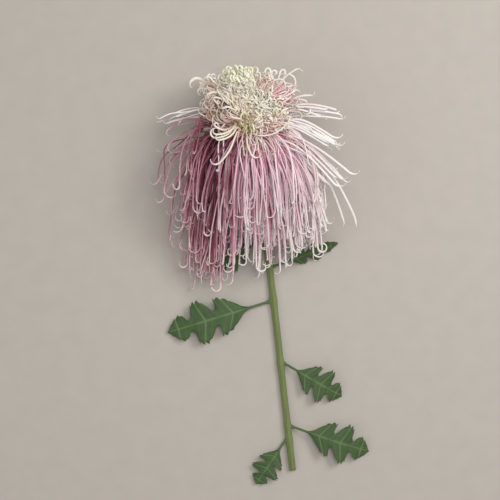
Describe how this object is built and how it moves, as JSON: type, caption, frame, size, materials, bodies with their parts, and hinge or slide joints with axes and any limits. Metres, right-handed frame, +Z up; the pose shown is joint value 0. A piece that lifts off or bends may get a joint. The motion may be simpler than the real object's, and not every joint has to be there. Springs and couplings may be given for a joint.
{
  "type": "spider chrysanthemum",
  "caption": "Cut spider chrysanthemum lying down: long curling tubular florets on a round receptacle, with bracts, a stem and lobed leaves.",
  "frame": {"origin": "bottom centre of the whole flower's box, on the surface that it lies on", "axes": "+Z up from the surface; +Y along the flower, from the cut end of the stem to the head"},
  "size_m": [0.203, 0.3842, 0.0833],
  "materials": {
    "outer_florets": "satin",
    "middle_florets": "satin",
    "eye_florets": "satin",
    "bracts": "matte",
    "leaves": "matte",
    "stem": "matte",
    "receptacle": "matte"
  },
  "bodies": {
    "root": {"outer_floret_1": "outer_florets", "outer_floret_2": "outer_florets", "outer_floret_3": "outer_florets", "outer_floret_4": "outer_florets", "outer_floret_5": "outer_florets", "outer_floret_6": "outer_florets", "outer_floret_7": "outer_florets", "outer_floret_8": "outer_florets", "outer_floret_9": "outer_florets", "outer_floret_10": "outer_florets", "outer_floret_11": "outer_florets", "outer_floret_12": "outer_florets", "outer_floret_13": "outer_florets", "outer_floret_14": "outer_florets", "outer_floret_15": "outer_florets", "outer_floret_16": "outer_florets", "outer_floret_17": "outer_florets", "outer_floret_18": "outer_florets", "middle_floret_right_1": "middle_florets", "middle_floret_right_2": "middle_florets", "middle_floret_right_3": "middle_florets", "middle_floret_right_4": "middle_florets", "middle_floret_right_5": "middle_florets", "middle_floret_right_6": "middle_florets", "middle_floret_right_7": "middle_florets", "middle_floret_top_1": "middle_florets", "middle_floret_top_2": "middle_florets", "middle_floret_top_3": "middle_florets", "middle_floret_left_1": "middle_florets", "middle_floret_left_2": "middle_florets", "middle_floret_left_3": "middle_florets", "middle_floret_left_4": "middle_florets", "middle_floret_left_5": "middle_florets", "middle_floret_front_1": "middle_florets", "middle_floret_front_2": "middle_florets", "middle_floret_front_3": "middle_florets", "middle_floret_front_4": "middle_florets", "eye_floret_1": "eye_florets", "eye_floret_2": "eye_florets", "eye_floret_3": "eye_florets", "eye_floret_4": "eye_florets", "eye_floret_5": "eye_florets", "eye_floret_6": "eye_florets", "eye_floret_7": "eye_florets", "bract_1": "bracts", "bract_2": "bracts", "bract_3": "bracts", "bract_4": "bracts", "bract_5": "bracts", "bract_6": "bracts", "bract_7": "bracts", "bract_8": "bracts", "leaf_1": "leaves", "leaf_2": "leaves", "leaf_3": "leaves", "leaf_4": "leaves", "leaf_5": "leaves", "leaf_6": "leaves", "stem": "stem", "receptacle": "receptacle"}
  },
  "joints": []
}
